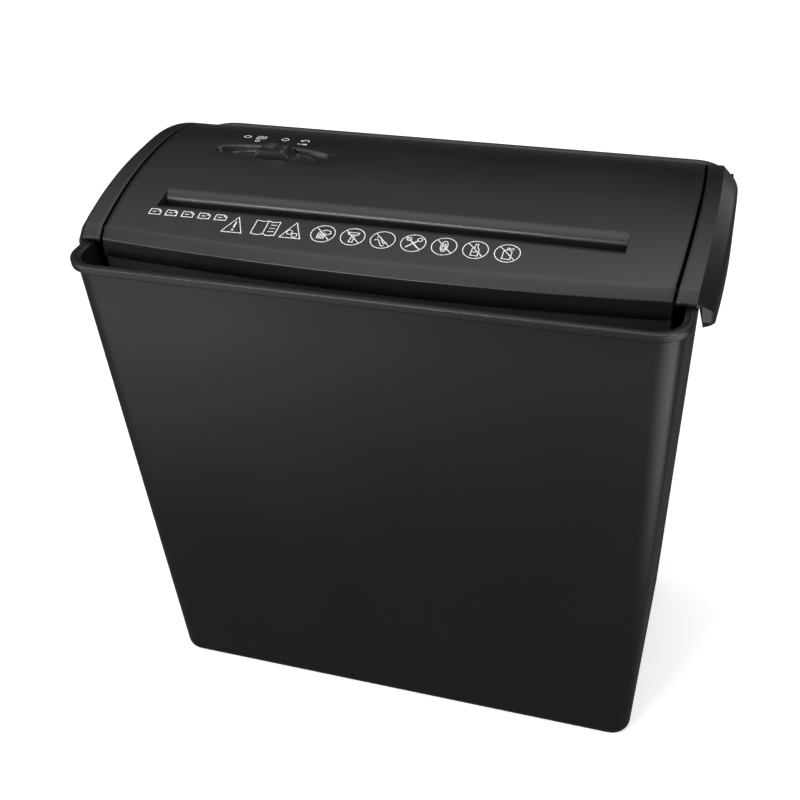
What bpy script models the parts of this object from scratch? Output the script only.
"""Strip-cut paper shredder: a waste bin with a lift-off cutter head, modelled in metres, +Z up.

The origin is on the floor under the middle of the bin. The front faces -Y, and the paper slot and both
cutters run along X. Each sub-part is one object. A moving piece has its origin on its joint's axis.
"""

import math

import bmesh
import bpy
from mathutils import Matrix, Vector

GAP = 0.0003  # between pieces that touch

# Waste bin
BIN_HEIGHT = 0.2685
BIN_BASE = (0.2605, 0.1312)
BIN_TOP = (0.2785, 0.1680)
BIN_BASE_RADIUS = 0.010
BIN_TOP_RADIUS = 0.013
BIN_WALL = 0.0020
BIN_FLOOR = 0.0026
LIP_OVERHANG = 0.0028
LIP_HEIGHT = 0.0042
LEDGE = 0.0008

# Head outline: half widths, front and back edges
SEAM = 0.1350
SEAM_BOW = 0.0030
SEAM_MIDDLE_Y = 0.0065
SEAM_REACH = 0.0693
HEAD_HALF = 0.1503
RIDGE_INSET = 0.0072
HEAD_FRONT = -0.0628
FRONT_BOW = 0.0066
SIDE_BOW = 0.0026
HEAD_BACK = 0.0757
CROWN_Y = 0.0208
CROWN_Z = 0.2862
FRONT_CURVE = 1.87
BACK_CURVE = 5.5
FRONT_EDGE_Z = 0.2705
FRONT_DRAFT = 0.0006
BACK_EDGE_Z = 0.2685
BAND = 0.0052
HEAD_BOTTOM = 0.2623
SKIRT_BOTTOM = 0.2570
SKIN = 0.0024

# Paper slot, centred a little to the left
SLOT_X = (-0.1120, 0.1085)
SLOT_Y = -0.0349
SLOT_WIDTH = 0.0046
SLOT_FLARE_BACK = 0.0080
SLOT_FLARE_FRONT = 0.0050
THROAT_WALL = 0.0020
THROAT_BOTTOM = 0.2600

# Mode switch
SWITCH_AT = (-0.0742, 0.0128)
RECESS_HALF = (0.0305, 0.0071)
RECESS_FLOOR = 0.2826
SLIDER_HALF = (0.0224, 0.0052)
SLIDER_TRAVEL = 0.0065

# Cutters: two shafts along X, one each side of the paper's path
CUTTER_Z = 0.2430
CUTTER_SPACING = 0.0180
DISC_RADIUS = 0.0106
SPACER_RADIUS = 0.0068
JOURNAL_RADIUS = 0.0032
DISC_COUNT = 20
DISC_PITCH = 0.0110
DISC_WIDTH = 0.0052
FRONT_AXIS_Y = SLOT_Y - CUTTER_SPACING / 2
REAR_AXIS_Y = SLOT_Y + CUTTER_SPACING / 2

# Auto-start lever: its pivot behind the slot, (y, z)
LEVER_PIVOT = (SLOT_Y + 0.0104, 0.2680)
LEVER_WINDOW = 0.0032

# Interlock plunger, on the bin's rim
PLUNGER_AT = (-0.1408, 0.0300)
PLUNGER_RADIUS = 0.0014

# Frame plates, inner faces
PLATE = 0.0020
LEFT_PLATE_X = -0.1143
RIGHT_PLATE_X = 0.1117
PLATE_BOTTOM = 0.2293
PLATE_TOP = 0.2615

# Tie rods, (y, z)
ROD_PLACES = [(-0.0570, 0.2570), (-0.0110, 0.2570), (-0.0110, 0.2336)]

# Gear train: the module between the cutters is their spacing over their teeth, and FINE for the reduction
LAYERS = (0.1149, 0.1194, 0.1239)
FACE = 0.0036
FINE = 0.0008
SYNC_TEETH = 18
DRIVE_TEETH = 28
WHEEL_TEETH = 45
SMALL_TEETH = 11
PINION_TEETH = 10
SECOND_STAGE_ANGLE = math.radians(20)
FIRST_STAGE_ANGLE = math.radians(5)
MOTOR_ANGLE = math.radians(-7)

# Motor
MOTOR_RADIUS = 0.0178
MOTOR_LENGTH = 0.0560

# Housing under the cover
TUB_HALF_WIDTH = 0.1315
TUB_FRONT = -0.0610
TUB_BACK = 0.0740
TUB_BOTTOM = 0.2260
TUB_WALL = 0.0022
GLAND_PLACE = (0.1000, 0.2545)
POST_RADIUS = 0.0032
SCREW_SPOTS = [(-0.1253, -0.0545), (0.1253, -0.0545), (-0.1253, 0.0680), (0.1253, 0.0680)]


def clear_scene():
    """Removes whatever the startup scene holds."""
    for obj in list(bpy.data.objects):
        bpy.data.objects.remove(obj, do_unlink=True)


def material(name, colour, roughness, metallic=0.0):
    """One Principled BSDF material; a name asked for twice is made once."""
    made = bpy.data.materials.get(name)
    if made:
        return made
    made = bpy.data.materials.new(name)
    made.use_nodes = True
    shader = made.node_tree.nodes["Principled BSDF"]
    shader.inputs["Base Color"].default_value = (*colour, 1)
    shader.inputs["Roughness"].default_value = roughness
    shader.inputs["Metallic"].default_value = metallic
    made.diffuse_color = (*colour, 1)
    return made


def black_plastic():
    return material("black_plastic", (0.012, 0.012, 0.013), 0.42)


def bin_plastic():
    return material("bin_plastic", (0.014, 0.014, 0.015), 0.35)


def inner_plastic():
    return material("inner_plastic", (0.02, 0.02, 0.02), 0.6)


def gear_plastic():
    return material("gear_plastic", (0.75, 0.74, 0.70), 0.45)


def steel():
    return material("steel", (0.55, 0.55, 0.56), 0.35, 1.0)


def zinc_steel():
    return material("zinc_steel", (0.62, 0.62, 0.60), 0.4, 1.0)


def bronze():
    return material("bronze", (0.50, 0.33, 0.17), 0.4, 1.0)


def board_green():
    return material("board_green", (0.02, 0.12, 0.05), 0.5)


def finish(name, bm, colour, at=(0, 0, 0), smooth=False):
    """Turns a bmesh into a linked object named name, at the place at."""
    bmesh.ops.remove_doubles(bm, verts=bm.verts, dist=1e-7)
    bmesh.ops.recalc_face_normals(bm, faces=bm.faces)
    mesh = bpy.data.meshes.new(name)
    bm.to_mesh(mesh)
    bm.free()
    mesh.materials.append(colour)
    if smooth:
        mesh.shade_smooth()
        mesh.set_sharp_from_angle(angle=math.radians(35))
    obj = bpy.data.objects.new(name, mesh)
    obj.location = at
    bpy.context.collection.objects.link(obj)
    return obj


def add_box(bm, low, high):
    """Adds a closed box between two corners."""
    size = [b - a for a, b in zip(low, high)]
    middle = [(a + b) / 2 for a, b in zip(low, high)]
    place = Matrix.Translation(middle) @ Matrix.Diagonal((*size, 1))
    bmesh.ops.create_cube(bm, size=1, matrix=place)


def add_cylinder(bm, start, end, radius, steps=16):
    """Adds a closed cylinder between two points."""
    start, end = Vector(start), Vector(end)
    along = end - start
    turn = along.to_track_quat("Z", "Y").to_matrix().to_4x4()
    place = Matrix.Translation((start + end) / 2) @ turn
    bmesh.ops.create_cone(
        bm, cap_ends=True, segments=steps, radius1=radius, radius2=radius, depth=along.length, matrix=place
    )


def add_loft(bm, rings, triangles=False, bent=False):
    """Adds a closed skin over rings of equal length, ends filled. Rings that aren't flat need triangles.

    A bent ring goes out along one side of a sheet and back along the other, and each end is filled across it.
    """
    made = [[bm.verts.new(point) for point in ring] for ring in rings]
    count = len(rings[0])
    for low, high in zip(made, made[1:]):
        for i in range(count):
            j = (i + 1) % count
            bm.faces.new((low[i], low[j], high[j], high[i]))
    for ring in (made[0][::-1], made[-1]):
        if not bent:
            bm.faces.new(ring)
            continue
        for i in range(count // 2 - 1):
            bm.faces.new((ring[i], ring[i + 1], ring[-2 - i], ring[-1 - i]))
    if triangles:
        bmesh.ops.triangulate(bm, faces=bm.faces[:])


def add_prism(bm, outline, axis, low, high):
    """Adds the prism of a flat outline, along axis 0, 1 or 2, between low and high."""
    def ring(level):
        return [tuple(p[:axis]) + (level,) + tuple(p[axis:]) for p in outline]

    add_loft(bm, [ring(low), ring(high)])


def add_turned(bm, profile, axis, steps, closed=False):
    """Spins (along, radius) points about axis 0, 1 or 2. A closed profile makes a ring."""
    out = (axis + 1) % 3
    verts = []
    for along, radius in profile:
        point = [0.0, 0.0, 0.0]
        point[axis] = along
        point[out] = radius
        verts.append(bm.verts.new(point))
    pairs = list(zip(verts, verts[1:]))
    if closed:
        pairs.append((verts[-1], verts[0]))
    edges = [bm.edges.new(pair) for pair in pairs]
    turn_axis = [0, 0, 0]
    turn_axis[axis] = 1
    bmesh.ops.spin(bm, geom=verts + edges, cent=(0, 0, 0), axis=turn_axis, angle=2 * math.pi, steps=steps)
    bmesh.ops.remove_doubles(bm, verts=bm.verts, dist=1e-7)


def turned(name, profile, axis, at, colour, steps=24, closed=False):
    bm = bmesh.new()
    add_turned(bm, profile, axis, steps, closed)
    return finish(name, bm, colour, at, smooth=True)


def helper(name, bm, at=(0, 0, 0)):
    """A hidden object that a Boolean uses."""
    obj = finish(name, bm, inner_plastic(), at)
    obj.hide_render = True
    obj.display_type = "WIRE"
    return obj


def combine(obj, other, operation):
    change = obj.modifiers.new(operation.lower() + "_" + other.name, "BOOLEAN")
    change.operation = operation
    change.object = other
    change.solver = "EXACT"
    change.use_self = True


def cut_box(obj, name, low, high):
    bm = bmesh.new()
    add_box(bm, low, high)
    combine(obj, helper(name, bm), "DIFFERENCE")


def rounded_outline(half_x, half_y, radius, steps=5):
    """Points round a rectangle with round corners, anticlockwise from the right side."""
    points = []
    for corner in range(4):
        sign_x = 1 if corner in (0, 3) else -1
        sign_y = 1 if corner in (0, 1) else -1
        for i in range(steps + 1):
            angle = math.pi / 2 * (corner + i / steps)
            points.append(
                (
                    sign_x * (half_x - radius) + radius * math.cos(angle),
                    sign_y * (half_y - radius) + radius * math.sin(angle),
                )
            )
    return points


# Waste bin


def bin_half(z):
    """Half width, half depth and corner radius of the bin's outside at height z."""
    t = z / BIN_HEIGHT
    half = [(a + (b - a) * t) / 2 for a, b in zip(BIN_BASE, BIN_TOP)]
    return half[0], half[1], BIN_BASE_RADIUS + (BIN_TOP_RADIUS - BIN_BASE_RADIUS) * t


def bin_ring(z, offset):
    half_x, half_y, radius = bin_half(z)
    return [
        (x, y, z) for x, y in rounded_outline(half_x + offset, half_y + offset, max(radius + offset, 0.002))
    ]


def make_bin():
    """A tapered bin with a turned-out lip round the rim."""
    top, under = BIN_HEIGHT, BIN_HEIGHT - LIP_HEIGHT
    steps = [
        (0, -0.003),
        (0.0009, -0.0009),
        (0.003, 0),
        (under, 0),
        (under + 0.0003, LIP_OVERHANG - 0.0004),
        (under + 0.0008, LIP_OVERHANG),
        (top - 0.0012, LIP_OVERHANG),
        (top - 0.0003, LIP_OVERHANG - 0.0005),
        (top, LIP_OVERHANG - 0.0013),
        (top - LEDGE, -BIN_WALL + 0.0004),
        (top - LEDGE - 0.0015, -BIN_WALL),
        (BIN_FLOOR + 0.004, -BIN_WALL),
        (BIN_FLOOR + 0.001, -BIN_WALL - 0.001),
        (BIN_FLOOR, -BIN_WALL - 0.004),
    ]
    bm = bmesh.new()
    add_loft(bm, [bin_ring(z, offset) for z, offset in steps])
    return finish("waste_bin", bm, bin_plastic(), smooth=True)


# Head outline


def front_bow(x):
    """How far the front edge stands forward of its place at the seams."""
    return FRONT_BOW * (1 - (x / SEAM) ** 2)


def seam(y):
    """Half width of the cover at y: widest in the middle, drawn in towards the front and the back."""
    return SEAM - SEAM_BOW * ((y - SEAM_MIDDLE_Y) / SEAM_REACH) ** 2


def arch(y):
    """Height of the head's top at y."""
    curve = FRONT_CURVE if y < CROWN_Y else BACK_CURVE
    return CROWN_Z - curve * (y - CROWN_Y) ** 2


def head_profile(x, inset=0.0, drop=0.0, bottom=HEAD_BOTTOM):
    """(y, z) points of the head's skin at x, from the front bottom over the top to the back bottom."""
    bow = front_bow(x)
    front = HEAD_FRONT + inset
    back = HEAD_BACK - inset
    low = drop + inset
    points = [(front - FRONT_DRAFT - bow, bottom)]
    points.append((front - bow, FRONT_EDGE_Z - low))
    for y in (HEAD_FRONT + BAND, -0.045, -0.030, -0.012, 0.008, CROWN_Y, 0.040, 0.052, 0.062, 0.070):
        forward = bow * max(0.0, min(1.0, (-0.020 - y) / 0.038))
        points.append((y + inset * (y < -0.05) - forward, arch(y) - low))
    points.append((back - 0.0012, arch(0.0735) - 0.0010 - low))
    points.append((back, BACK_EDGE_Z - low))
    points.append((back, bottom))
    return points


def add_oval(bm, half_x, half_y, low, high):
    """Adds an upright oval block round the mode switch's place."""
    steps = 24
    outline = []
    for i in range(steps):
        angle = 2 * math.pi * i / steps
        outline.append((SWITCH_AT[0] + half_x * math.cos(angle), SWITCH_AT[1] + half_y * math.sin(angle)))
    add_prism(bm, outline, 2, low, high)


def make_cover():
    """The curved cover between the two seams, with the throat of the slot and four screw posts."""
    rings = []
    for i in range(9):
        share = -1 + 2 * i / 8
        outer = head_profile(share * SEAM)
        inner = head_profile(share * SEAM, inset=SKIN)
        rings.append([(share * (seam(y) - GAP / 2), y, z) for y, z in outer + inner[::-1]])
    bm = bmesh.new()
    add_loft(bm, rings, triangles=True, bent=True)
    cover = finish("top_cover", bm, black_plastic(), smooth=True)

    throat = bmesh.new()
    side = SLOT_WIDTH / 2 + THROAT_WALL
    throat_back = SLOT_Y + SLOT_FLARE_BACK + 0.003
    outline = [
        (SLOT_Y - side, THROAT_BOTTOM),
        (SLOT_Y + side, THROAT_BOTTOM),
        (SLOT_Y + side, 0.2735),
        (throat_back, arch(throat_back) - SKIN / 2),
        (SLOT_Y - side, arch(SLOT_Y - side) - SKIN / 2),
    ]
    add_prism(throat, outline, 0, SLOT_X[0] - THROAT_WALL, SLOT_X[1] + THROAT_WALL)
    combine(cover, helper("throat_block", throat), "UNION")

    pan = bmesh.new()
    add_oval(pan, RECESS_HALF[0] + 0.002, RECESS_HALF[1] + 0.002, RECESS_FLOOR - SKIN, 0.2846)
    combine(cover, helper("recess_pan", pan), "UNION")

    for i, (x, y) in enumerate(SCREW_SPOTS):
        post = bmesh.new()
        top = min(arch(y - POST_RADIUS), arch(y + POST_RADIUS)) - SKIN / 2
        add_cylinder(post, (x, y, TUB_BOTTOM + TUB_WALL + GAP), (x, y, top), POST_RADIUS, 12)
        combine(cover, helper(f"screw_post_{i + 1}", post), "UNION")
        pilot = bmesh.new()
        add_cylinder(pilot, (x, y, 0.220), (x, y, 0.2440), 0.0016, 10)
        combine(cover, helper(f"screw_pilot_{i + 1}", pilot), "DIFFERENCE")

    flare = bmesh.new()
    half_slot = SLOT_WIDTH / 2
    outline = [
        (SLOT_Y - half_slot, 0.250),
        (SLOT_Y + half_slot, 0.250),
        (SLOT_Y + half_slot, 0.2765),
        (SLOT_Y + half_slot + 0.0012, 0.2785),
        (SLOT_Y + SLOT_FLARE_BACK, arch(SLOT_Y + SLOT_FLARE_BACK)),
        (SLOT_Y + SLOT_FLARE_BACK, 0.290),
        (SLOT_Y - half_slot - SLOT_FLARE_FRONT, 0.290),
        (SLOT_Y - half_slot - SLOT_FLARE_FRONT, arch(SLOT_Y - half_slot - SLOT_FLARE_FRONT)),
        (SLOT_Y - half_slot, 0.2775),
    ]
    add_prism(flare, outline, 0, *SLOT_X)
    combine(cover, helper("slot_cutter", flare), "DIFFERENCE")

    recess = bmesh.new()
    add_oval(recess, *RECESS_HALF, RECESS_FLOOR, 0.295)
    combine(cover, helper("recess_cutter", recess), "DIFFERENCE")
    cut_box(
        cover,
        "stem_slot",
        (SWITCH_AT[0] - SLIDER_TRAVEL - 0.0026, SWITCH_AT[1] - 0.0018, 0.276),
        (SWITCH_AT[0] + SLIDER_TRAVEL + 0.0026, SWITCH_AT[1] + 0.0018, 0.290),
    )
    cut_box(cover, "lever_window", (-LEVER_WINDOW, SLOT_Y - 0.006, 0.255), (LEVER_WINDOW, SLOT_Y + 0.006, 0.2700))
    return cover


def side_bow(y):
    """How far the head's side stands in from its widest place."""
    return SIDE_BOW * ((y + 0.005) / 0.070) ** 2


def cap_ring(side, out, inset, drop, ends, bottom):
    """One ring of an end cap. out is the place across, drop lowers the top and ends draws in front and back."""
    middle = (HEAD_FRONT + HEAD_BACK) / 2
    scale = 1 - ends / (HEAD_BACK - middle)
    points = []
    for y, z in head_profile(SEAM, inset=inset, drop=drop, bottom=bottom):
        y = middle + (y - middle) * scale
        points.append((side * (out - side_bow(y)), y, z))
    return points


def make_end_cap(name, side):
    """An end cap: a hollow block with a rounded outer edge, notched where the bin's rim passes."""
    bm = bmesh.new()
    wide = HEAD_HALF
    rings = [
        cap_ring(side, SEAM + GAP / 2, 0, 0, 0, SKIRT_BOTTOM),
        cap_ring(side, wide - RIDGE_INSET, 0, 0, 0, SKIRT_BOTTOM),
        cap_ring(side, wide - 0.0030, 0, 0.0022, 0.0022, SKIRT_BOTTOM),
        cap_ring(side, wide - 0.0006, 0, 0.0050, 0.0046, SKIRT_BOTTOM),
        cap_ring(side, wide, 0, 0.0075, 0.0070, SKIRT_BOTTOM),
    ]
    start = SEAM - SEAM_BOW - 0.0010
    rings[0] = [(side * start, y, z) for _, y, z in rings[0]]
    add_loft(bm, rings, triangles=True)
    cap = finish(name, bm, black_plastic(), smooth=True)

    edge = bmesh.new()
    outline = [(side * (start - 0.0050), 0.085), (side * (start - 0.0050), -0.075)]
    for i in range(17):
        y = -0.075 + 0.010 * i
        outline.append((side * (seam(y) + GAP / 2), y))
    add_prism(edge, outline, 2, 0.24, 0.30)
    combine(cap, helper(name + "_seam", edge), "DIFFERENCE")

    hollow = bmesh.new()
    rings = [
        cap_ring(side, SEAM - 0.004, SKIN, 0, 0, SKIRT_BOTTOM - 0.01),
        cap_ring(side, wide - RIDGE_INSET, SKIN, 0, 0, SKIRT_BOTTOM - 0.01),
        cap_ring(side, wide - 0.0042, SKIN, 0.0025, 0.0025, SKIRT_BOTTOM - 0.01),
    ]
    rings[0] = [(side * (start - 0.0020), y, z) for _, y, z in rings[0]]
    add_loft(hollow, rings, triangles=True)
    combine(cap, helper(name + "_hollow", hollow), "DIFFERENCE")
    rim_outer = BIN_TOP[0] / 2 + LIP_OVERHANG + 0.0016
    notch = [side * (SEAM - 0.01), side * rim_outer]
    cut_box(cap, name + "_notch", (min(notch), -0.12, 0.24), (max(notch), 0.12, BIN_HEIGHT + GAP))
    return cap


# Housing


def tub_ring(inset, z):
    """The housing's outline, whose front follows the cover's bow."""
    half = TUB_HALF_WIDTH - inset
    front = TUB_FRONT + inset
    points = [(half, TUB_BACK - inset), (-half, TUB_BACK - inset)]
    for i in range(7):
        x = -half + 2 * half * i / 6
        points.append((x, front - front_bow(x) * 0.8))
    return [(x, y, z) for x, y in points]


def make_housing():
    """The tub that closes the head underneath, with the outlet for the shreds."""
    top = HEAD_BOTTOM - GAP
    floor = TUB_BOTTOM + TUB_WALL
    bm = bmesh.new()
    rings = [
        tub_ring(0.0015, TUB_BOTTOM),
        tub_ring(0, TUB_BOTTOM + 0.0015),
        tub_ring(0, top),
        tub_ring(TUB_WALL, top),
        tub_ring(TUB_WALL, floor),
    ]
    add_loft(bm, rings)
    tub = finish("lower_housing", bm, inner_plastic())
    cut_box(tub, "shred_outlet", (-0.1110, SLOT_Y - 0.0150, 0.20), (0.1090, SLOT_Y + 0.0150, 0.24))
    for i, (x, y) in enumerate(SCREW_SPOTS):
        hole = bmesh.new()
        add_cylinder(hole, (x, y, 0.20), (x, y, 0.24), 0.0020, 10)
        combine(tub, helper(f"tub_hole_{i + 1}", hole), "DIFFERENCE")
    gland_hole = bmesh.new()
    gland_x, gland_z = GLAND_PLACE
    add_cylinder(gland_hole, (gland_x, 0.060, gland_z), (gland_x, 0.090, gland_z), 0.0033, 16)
    combine(tub, helper("gland_hole", gland_hole), "DIFFERENCE")
    return tub


def make_cover_screws():
    """Four screws from under the housing into the cover's posts."""
    seat = TUB_BOTTOM - GAP
    profile = [
        (seat - 0.0020, 0),
        (seat - 0.0020, 0.0022),
        (seat - 0.0012, 0.0030),
        (seat, 0.0030),
        (seat, 0.00125),
        (0.2400, 0.00125),
        (0.2418, 0),
    ]
    for i, (x, y) in enumerate(SCREW_SPOTS):
        turned(f"cover_screw_{i + 1}", profile, 2, (x, y, 0), zinc_steel(), steps=12)


# Cutters and frame


def cutter_profile(first_disc):
    """(along, radius) of a cutter: a journal, discs and spacers, and a journal that carries the gears."""
    profile = [(LEFT_PLATE_X - PLATE - 0.0015, 0), (LEFT_PLATE_X - PLATE - 0.0015, JOURNAL_RADIUS)]
    profile += [(LEFT_PLATE_X + 0.0013, JOURNAL_RADIUS), (LEFT_PLATE_X + 0.0013, SPACER_RADIUS)]
    for i in range(DISC_COUNT):
        start = first_disc + i * DISC_PITCH
        stop = start + DISC_WIDTH
        profile += [(start, SPACER_RADIUS), (start, DISC_RADIUS), (stop, DISC_RADIUS), (stop, SPACER_RADIUS)]
    profile += [(RIGHT_PLATE_X - 0.0013, SPACER_RADIUS), (RIGHT_PLATE_X - 0.0013, JOURNAL_RADIUS)]
    return profile


def make_cutters():
    """Front and rear cutters, whose discs stand in each other's gaps."""
    first = SLOT_X[0] + 0.0006
    front_end = LAYERS[0] + FACE + 0.0004
    rear_end = LAYERS[1] + FACE
    front = cutter_profile(first) + [(front_end, JOURNAL_RADIUS), (front_end, 0)]
    rear = cutter_profile(first + DISC_PITCH / 2) + [(rear_end, JOURNAL_RADIUS), (rear_end, 0)]
    turned("front_cutter", front, 0, (0, FRONT_AXIS_Y, CUTTER_Z), steel(), steps=12)
    turned("rear_cutter", rear, 0, (0, REAR_AXIS_Y, CUTTER_Z), steel(), steps=12)


def make_stripper(name, side, axis_y, first_disc):
    """A comb whose fingers stand between the discs of one cutter."""
    bar_in = axis_y + side * (DISC_RADIUS + 0.0012)
    bar_out = bar_in + side * 0.0034
    tip = axis_y + side * (SPACER_RADIUS + 0.0007)
    outline = [(LEFT_PLATE_X + GAP, bar_out), (LEFT_PLATE_X + GAP, bar_in)]
    for i in range(DISC_COUNT - 1):
        start = first_disc + i * DISC_PITCH + DISC_WIDTH + 0.0007
        stop = first_disc + (i + 1) * DISC_PITCH - 0.0007
        outline += [(start, bar_in), (start, tip), (stop, tip), (stop, bar_in)]
    outline += [(RIGHT_PLATE_X - GAP, bar_in), (RIGHT_PLATE_X - GAP, bar_out)]
    bm = bmesh.new()
    add_prism(bm, outline, 2, CUTTER_Z - 0.0035, CUTTER_Z + 0.0035)
    return finish(name, bm, inner_plastic())


def make_frame():
    """Two side plates with bushes, and three tie rods between them."""
    ends = [("left_frame_plate", LEFT_PLATE_X - PLATE, -0.0060), ("right_frame_plate", RIGHT_PLATE_X, 0.0560)]
    for name, low, back in ends:
        bm = bmesh.new()
        add_box(bm, (low, -0.0592, PLATE_BOTTOM), (low + PLATE, back, PLATE_TOP))
        plate = finish(name, bm, zinc_steel())
        holes = [(FRONT_AXIS_Y, CUTTER_Z, 0.0056), (REAR_AXIS_Y, CUTTER_Z, 0.0056)]
        holes += [(y, z, 0.0017) for y, z in ROD_PLACES]
        if name.startswith("right"):
            holes += [(*motor_place(), 0.0045), (*stage_places()[0], 0.0016), (*stage_places()[1], 0.0016)]
            holes += [(*place, 0.0016) for place in motor_screw_places()]
        for i, (y, z, radius) in enumerate(holes):
            hole = bmesh.new()
            add_cylinder(hole, (low - 0.01, y, z), (low + 0.01, y, z), radius, 16)
            combine(plate, helper(f"{name}_hole_{i + 1}", hole), "DIFFERENCE")
    left, right = LEFT_PLATE_X, RIGHT_PLATE_X
    profile = [
        (left - PLATE - 0.0010, 0),
        (left - PLATE - 0.0010, 0.0014),
        (left + GAP, 0.0014),
        (left + GAP, 0.0025),
        (right - GAP, 0.0025),
        (right - GAP, 0.0014),
        (right + PLATE + 0.0004, 0.0014),
        (right + PLATE + 0.0004, 0),
    ]
    for i, (y, z) in enumerate(ROD_PLACES):
        turned(f"tie_rod_{i + 1}", profile, 0, (0, y, z), steel(), steps=12)
    for side, x in (("left", LEFT_PLATE_X - PLATE), ("right", RIGHT_PLATE_X)):
        for place, y in (("front", FRONT_AXIS_Y), ("rear", REAR_AXIS_Y)):
            ring = [(0, 0.0035), (PLATE, 0.0035), (PLATE, 0.0053), (0, 0.0053)]
            turned(f"{side}_{place}_bush", ring, 0, (x, y, CUTTER_Z), bronze(), steps=20, closed=True)


# Gears


def toothed_outline(teeth, module, tooth_at):
    """Outline of a spur gear with one tooth's middle at the angle tooth_at."""
    radius = teeth * module / 2
    step = 2 * math.pi / teeth
    outline = []
    for i in range(teeth):
        middle = tooth_at + i * step
        for angle, r in ((-0.25, -1.15), (-0.11, 0.92), (0.11, 0.92), (0.25, -1.15)):
            outline.append(
                (
                    (radius + r * module) * math.cos(middle + angle * step),
                    (radius + r * module) * math.sin(middle + angle * step),
                )
            )
    return outline


def gap_at(angle, teeth):
    """The tooth angle that puts a gap's middle at angle."""
    return angle + math.pi / teeth


def towards(start, end):
    return math.atan2(end[1] - start[1], end[0] - start[0])


def stage_places():
    """(y, z) of the two reduction gears: the one next to the motor first."""
    rear = (REAR_AXIS_Y, CUTTER_Z)
    reach = (SMALL_TEETH + DRIVE_TEETH) * FINE / 2
    second = (rear[0] + reach * math.cos(SECOND_STAGE_ANGLE), rear[1] + reach * math.sin(SECOND_STAGE_ANGLE))
    reach = (SMALL_TEETH + WHEEL_TEETH) * FINE / 2
    first = (second[0] + reach * math.cos(FIRST_STAGE_ANGLE), second[1] + reach * math.sin(FIRST_STAGE_ANGLE))
    return first, second


def motor_place():
    first, _ = stage_places()
    reach = (PINION_TEETH + WHEEL_TEETH) * FINE / 2
    return first[0] + reach * math.cos(MOTOR_ANGLE), first[1] + reach * math.sin(MOTOR_ANGLE)


def motor_screw_places():
    y, z = motor_place()
    return [(y, z + 0.0085), (y, z - 0.0085)]


def make_gear(name, wheels, place, bore):
    """A gear, or two on one hub. wheels holds (teeth, module, tooth angle, layer) and bore its hole's radius."""
    pieces = []
    for teeth, module, tooth_at, layer in wheels:
        bm = bmesh.new()
        add_prism(bm, toothed_outline(teeth, module, tooth_at), 0, LAYERS[layer], LAYERS[layer] + FACE)
        pieces.append(bm)
    gear = finish(name, pieces[0], gear_plastic(), (0, *place))
    if len(wheels) > 1:
        combine(gear, helper(name + "_second", pieces[1], (0, *place)), "UNION")
        low, high = sorted(LAYERS[wheel[3]] for wheel in wheels)
        hub = bmesh.new()
        add_cylinder(hub, (low + FACE / 2, 0, 0), (high + FACE / 2, 0, 0), SMALL_TEETH * FINE / 2 - 0.0010, 16)
        combine(gear, helper(name + "_hub", hub, (0, *place)), "UNION")
    hole = bmesh.new()
    add_cylinder(hole, (0.10, 0, 0), (0.14, 0, 0), bore, 16)
    combine(gear, helper(name + "_bore", hole, (0, *place)), "DIFFERENCE")
    return gear


def make_gears():
    """The train from the motor's pinion to the two cutters, each pair in mesh at rest."""
    rear, front = (REAR_AXIS_Y, CUTTER_Z), (FRONT_AXIS_Y, CUTTER_Z)
    first, second = stage_places()
    motor = motor_place()
    on_shaft = JOURNAL_RADIUS + GAP
    module = CUTTER_SPACING / SYNC_TEETH
    make_gear("rear_cutter_gear", [(SYNC_TEETH, module, towards(rear, front), 0)], rear, on_shaft)
    gap = gap_at(towards(front, rear), SYNC_TEETH)
    make_gear("front_cutter_gear", [(SYNC_TEETH, module, gap, 0)], front, on_shaft)
    make_gear("cutter_drive_gear", [(DRIVE_TEETH, FINE, towards(rear, second), 1)], rear, on_shaft)
    make_gear(
        "second_reduction_gear",
        [
            (WHEEL_TEETH, FINE, towards(second, first), 2),
            (SMALL_TEETH, FINE, gap_at(towards(second, rear), SMALL_TEETH), 1),
        ],
        second,
        0.0019,
    )
    make_gear(
        "first_reduction_gear",
        [
            (WHEEL_TEETH, FINE, towards(first, motor), 0),
            (SMALL_TEETH, FINE, gap_at(towards(first, second), SMALL_TEETH), 2),
        ],
        first,
        0.0019,
    )
    pinion_tooth = gap_at(towards(motor, first), PINION_TEETH)
    pinion = make_gear("motor_pinion", [(PINION_TEETH, FINE, pinion_tooth, 0)], motor, 0.0013)
    pinion.data.materials[0] = bronze()
    stud = [
        (RIGHT_PLATE_X + 0.0002, 0),
        (RIGHT_PLATE_X + 0.0002, 0.0013),
        (RIGHT_PLATE_X + PLATE + GAP, 0.0013),
        (RIGHT_PLATE_X + PLATE + GAP, 0.0016),
        (LAYERS[2] + FACE + 0.0010, 0.0016),
        (LAYERS[2] + FACE + 0.0010, 0),
    ]
    turned("first_gear_stud", stud, 0, (0, *first), steel(), steps=12)
    turned("second_gear_stud", stud, 0, (0, *second), steel(), steps=12)


# Motor


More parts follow.
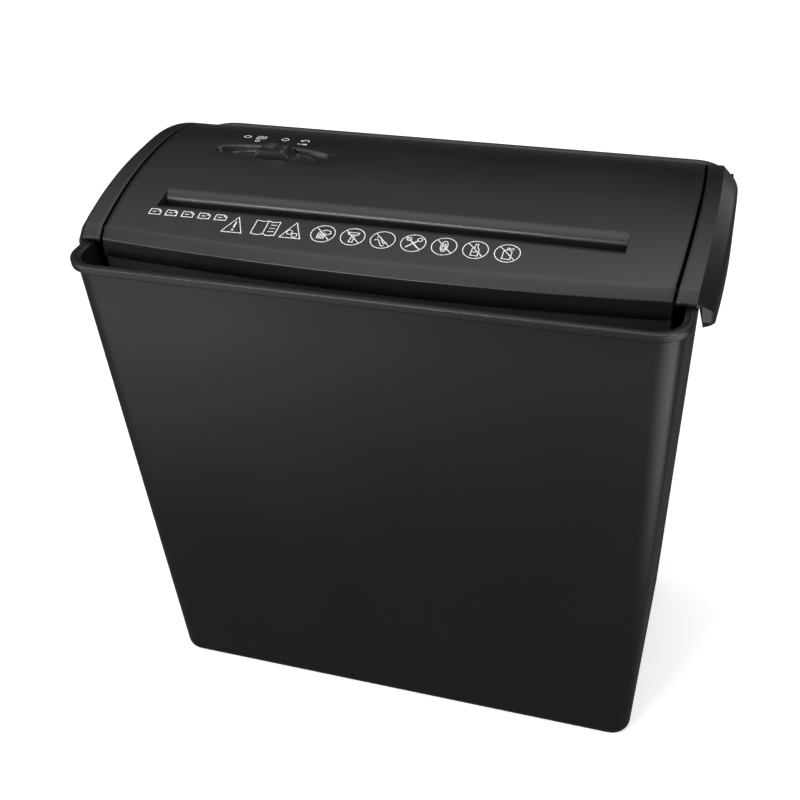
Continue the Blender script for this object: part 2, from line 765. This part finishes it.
def make_motor():
    """A can with its end bell, the rotor inside them, and two screws through the frame plate."""
    y, z = motor_place()
    face = RIGHT_PLATE_X - GAP
    back = face - MOTOR_LENGTH
    wall = 0.0014
    shell = [
        (back, MOTOR_RADIUS),
        (back, MOTOR_RADIUS - wall),
        (face - wall, MOTOR_RADIUS - wall),
        (face - wall, 0.0020),
        (face, 0.0020),
        (face, MOTOR_RADIUS - 0.001),
        (face - 0.001, MOTOR_RADIUS),
    ]
    can = turned("motor_can", shell, 0, (0, y, z), zinc_steel(), closed=True)
    for i, (hole_y, hole_z) in enumerate(motor_screw_places()):
        hole = bmesh.new()
        add_cylinder(hole, (face - 0.006, hole_y, hole_z), (face + 0.006, hole_y, hole_z), 0.0015, 10)
        combine(can, helper(f"motor_can_hole_{i + 1}", hole), "DIFFERENCE")
    bell = [
        (back - 0.0060, 0),
        (back - 0.0060, 0.0050),
        (back - 0.0030, 0.0055),
        (back - 0.0024, MOTOR_RADIUS - 0.0010),
        (back - GAP, MOTOR_RADIUS),
        (back - GAP, 0.0120),
        (back - 0.0012, 0.0115),
        (back - 0.0012, 0.0016),
        (back - 0.0042, 0.0016),
        (back - 0.0042, 0),
    ]
    turned("motor_end_bell", bell, 0, (0, y, z), inner_plastic())
    tip = LAYERS[0] + FACE
    rotor = [
        (back - 0.0036, 0),
        (back - 0.0036, 0.0010),
        (back + 0.004, 0.0010),
        (back + 0.004, 0.0045),
        (back + 0.013, 0.0045),
        (back + 0.013, 0.0125),
        (face - 0.008, 0.0125),
        (face - 0.008, 0.0010),
        (tip, 0.0010),
        (tip, 0),
    ]
    turned("motor_rotor", rotor, 0, (0, y, z), steel(), steps=16)
    head = RIGHT_PLATE_X + PLATE + GAP
    screw = [
        (face - 0.0045, 0),
        (face - 0.0045, 0.0012),
        (head, 0.0012),
        (head, 0.0024),
        (head + 0.0008, 0.0022),
        (head + 0.0008, 0),
    ]
    for i, place in enumerate(motor_screw_places()):
        turned(f"motor_screw_{i + 1}", screw, 0, (0, *place), zinc_steel(), steps=12)


# Controls


def make_mode_slider():
    """The oval slider in its recess, with a thumb grip on top and a stem through the recess floor."""
    low = RECESS_FLOOR + GAP
    bm = bmesh.new()
    steps = 24
    rings = []
    for level, inset in ((0, 0.0), (0.0010, 0.0), (0.0014, 0.0006)):
        ring = []
        for i in range(steps):
            angle = 2 * math.pi * i / steps
            x, y = (SLIDER_HALF[0] - inset) * math.cos(angle), (SLIDER_HALF[1] - inset) * math.sin(angle)
            ring.append((x, y, low + level))
        rings.append(ring)
    add_loft(bm, rings)
    slider = finish("mode_slider", bm, black_plastic(), (*SWITCH_AT, 0), smooth=True)
    grip = bmesh.new()
    outline = [(-0.0110, low), (-0.0072, low + 0.0048), (-0.0050, low + 0.0058)]
    outline += [(0.0050, low + 0.0062), (0.0075, low + 0.0052), (0.0100, low)]
    add_prism(grip, outline, 1, -0.0040, 0.0040)
    combine(slider, helper("slider_grip", grip, (*SWITCH_AT, 0)), "UNION")
    stem = bmesh.new()
    add_box(stem, (-0.0020, -0.0012, 0.2768), (0.0020, 0.0012, low + 0.001))
    combine(slider, helper("slider_stem", stem, (*SWITCH_AT, 0)), "UNION")
    return slider


def make_mode_switch():
    """The switch under the recess, open on top where the slider's stem enters."""
    x, y = SWITCH_AT
    top = RECESS_FLOOR - SKIN - GAP
    bm = bmesh.new()
    add_box(bm, (x - 0.0150, y - 0.0055, top - 0.0080), (x + 0.0150, y + 0.0055, top))
    body = finish("mode_switch", bm, inner_plastic())
    cut_box(
        body,
        "switch_well",
        (x - SLIDER_TRAVEL - 0.0026, y - 0.0018, top - 0.0050),
        (x + SLIDER_TRAVEL + 0.0026, y + 0.0018, top + 0.005),
    )


def make_paper_sensor():
    """The lever across the slot that starts the cutters, and the switch it works."""
    pivot = (0, *LEVER_PIVOT)
    outline = [(-0.0124, -0.0014), (-0.0124, 0.0002), (-0.0020, 0.0016), (0.0006, 0.0020), (0.0020, 0.0008)]
    outline += [(0.0020, -0.0014), (0.0004, -0.0022), (-0.0020, -0.0018)]
    lever = bmesh.new()
    add_prism(lever, outline, 0, -0.0014, 0.0014)
    arm = finish("paper_lever", lever, black_plastic(), pivot)
    pin = bmesh.new()
    add_cylinder(pin, (-0.0034, 0, 0), (0.0034, 0, 0), 0.0008, 10)
    combine(arm, helper("lever_pin", pin, pivot), "UNION")

    body = bmesh.new()
    add_box(body, (-0.0060, pivot[1] - 0.0030, 0.2640), (0.0060, pivot[1] + 0.0110, 0.2735))
    switch = finish("paper_switch", body, inner_plastic())
    cut_box(
        switch, "lever_slot", (-0.0018, pivot[1] - 0.010, 0.255), (0.0018, pivot[1] + 0.0032, 0.280)
    )
    bore = bmesh.new()
    add_cylinder(bore, (-0.0040, *pivot[1:]), (0.0040, *pivot[1:]), 0.0011, 12)
    combine(switch, helper("lever_bore", bore), "DIFFERENCE")


def make_interlock():
    """A plunger on the bin's rim and its switch, which stops the cutters with the head off the bin."""
    x, y = PLUNGER_AT
    top = 0.2796
    plunger = [
        (BIN_HEIGHT + GAP, 0),
        (BIN_HEIGHT + GAP, 0.0009),
        (BIN_HEIGHT + 0.0010, PLUNGER_RADIUS),
        (0.2766, PLUNGER_RADIUS),
        (0.2766, 0),
    ]
    turned("interlock_plunger", plunger, 2, (x, y, 0), inner_plastic(), steps=12)
    body = bmesh.new()
    add_box(body, (x - 0.0030, y - 0.0100, BIN_HEIGHT + 0.0030), (x + 0.0030, y + 0.0100, top))
    switch = finish("interlock_switch", body, inner_plastic())
    bore = bmesh.new()
    add_cylinder(bore, (x, y, 0.26), (x, y, 0.2775), PLUNGER_RADIUS + GAP, 12)
    combine(switch, helper("plunger_bore", bore), "DIFFERENCE")


# Electrics


def make_electrics():
    """The circuit board with its relay and capacitor, the motor's thermal cut-out and the cord's gland."""
    floor = TUB_BOTTOM + TUB_WALL
    board = bmesh.new()
    add_box(board, (-0.100, 0.012, floor + 0.004), (-0.030, 0.058, floor + 0.0056))
    obj = finish("circuit_board", board, board_green())
    for i, (x, y) in enumerate([(-0.096, 0.016), (-0.034, 0.016), (-0.096, 0.054), (-0.034, 0.054)]):
        foot = bmesh.new()
        add_cylinder(foot, (x, y, floor + GAP), (x, y, floor + 0.005), 0.0022, 10)
        combine(obj, helper(f"board_foot_{i + 1}", foot), "UNION")
    top = floor + 0.0056 + GAP
    relay = bmesh.new()
    add_box(relay, (-0.062, 0.030, top), (-0.044, 0.045, top + 0.0150))
    finish("drive_relay", relay, material("relay_blue", (0.03, 0.09, 0.28), 0.4))
    capacitor = [
        (0, 0),
        (0, 0.0060),
        (0.0140, 0.0060),
        (0.0150, 0.0052),
        (0.0150, 0),
    ]
    sleeve = material("capacitor_sleeve", (0.02, 0.025, 0.05), 0.35)
    turned("filter_capacitor", capacitor, 2, (-0.082, 0.036, top), sleeve, steps=16)
    y, z = motor_place()
    cutout = bmesh.new()
    above = z + MOTOR_RADIUS + GAP
    add_box(cutout, (0.070, y - 0.0040, above), (0.088, y + 0.0040, above + 0.0040))
    finish("thermal_cutout", cutout, inner_plastic())
    gland = [
        (-0.0050, 0.0020),
        (0.0046, 0.0020),
        (0.0046, 0.0034),
        (0.0030, 0.0042),
        (GAP, 0.0042),
        (GAP, 0.0030),
        (-0.0050, 0.0030),
    ]
    turned("cord_gland", gland, 1, (GLAND_PLACE[0], TUB_BACK, GLAND_PLACE[1]), black_plastic(), steps=16, closed=True)


def main():
    clear_scene()
    make_bin()
    make_cover()
    make_end_cap("left_end_cap", -1)
    make_end_cap("right_end_cap", 1)
    make_housing()
    make_cover_screws()
    make_cutters()
    first = SLOT_X[0] + 0.0006
    make_stripper("front_stripper", -1, FRONT_AXIS_Y, first)
    make_stripper("rear_stripper", 1, REAR_AXIS_Y, first + DISC_PITCH / 2)
    make_frame()
    make_gears()
    make_motor()
    make_mode_slider()
    make_mode_switch()
    make_paper_sensor()
    make_interlock()
    make_electrics()


main()
